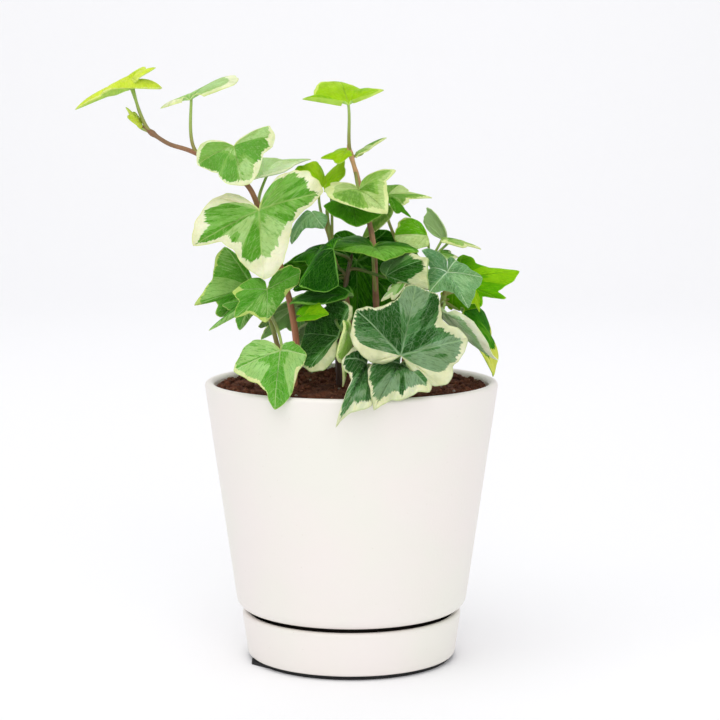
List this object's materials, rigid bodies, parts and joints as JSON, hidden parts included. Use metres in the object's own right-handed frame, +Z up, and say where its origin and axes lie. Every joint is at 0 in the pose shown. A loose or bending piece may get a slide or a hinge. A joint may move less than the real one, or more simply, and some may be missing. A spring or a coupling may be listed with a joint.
{
  "type": "potted english ivy",
  "caption": "English ivy with lobed, cream-edged leaves on thin stems, in soil in a tapered round pot standing in its own saucer on a thin non-slip pad.",
  "frame": {"origin": "on the pot's axis, on the underside of the non-slip pad, which is the surface that the object stands on", "axes": "+Z up along the pot's axis, +X to the right and -Y towards the front, the side that the reference view shows"},
  "size_m": [0.1772, 0.1375, 0.2413],
  "materials": {
    "pad_rubber": "matt black",
    "cream_glaze": "glazed ceramic, satin cream white",
    "potting_soil": "loose dark brown peat",
    "ivy_green": "soft leaf sheen"
  },
  "bodies": {
    "root": {"nonslip_pad": "pad_rubber", "saucer": "cream_glaze", "pot": "cream_glaze", "soil": "potting_soil", "ivy_stem_arching": "ivy_green", "ivy_stem_tall": "ivy_green", "ivy_stem_slender": "ivy_green", "ivy_stem_right_back": "ivy_green", "ivy_stem_right": "ivy_green", "ivy_stem_front": "ivy_green", "ivy_stem_left": "ivy_green", "ivy_stem_middle": "ivy_green", "ivy_stem_back": "ivy_green"}
  },
  "joints": []
}
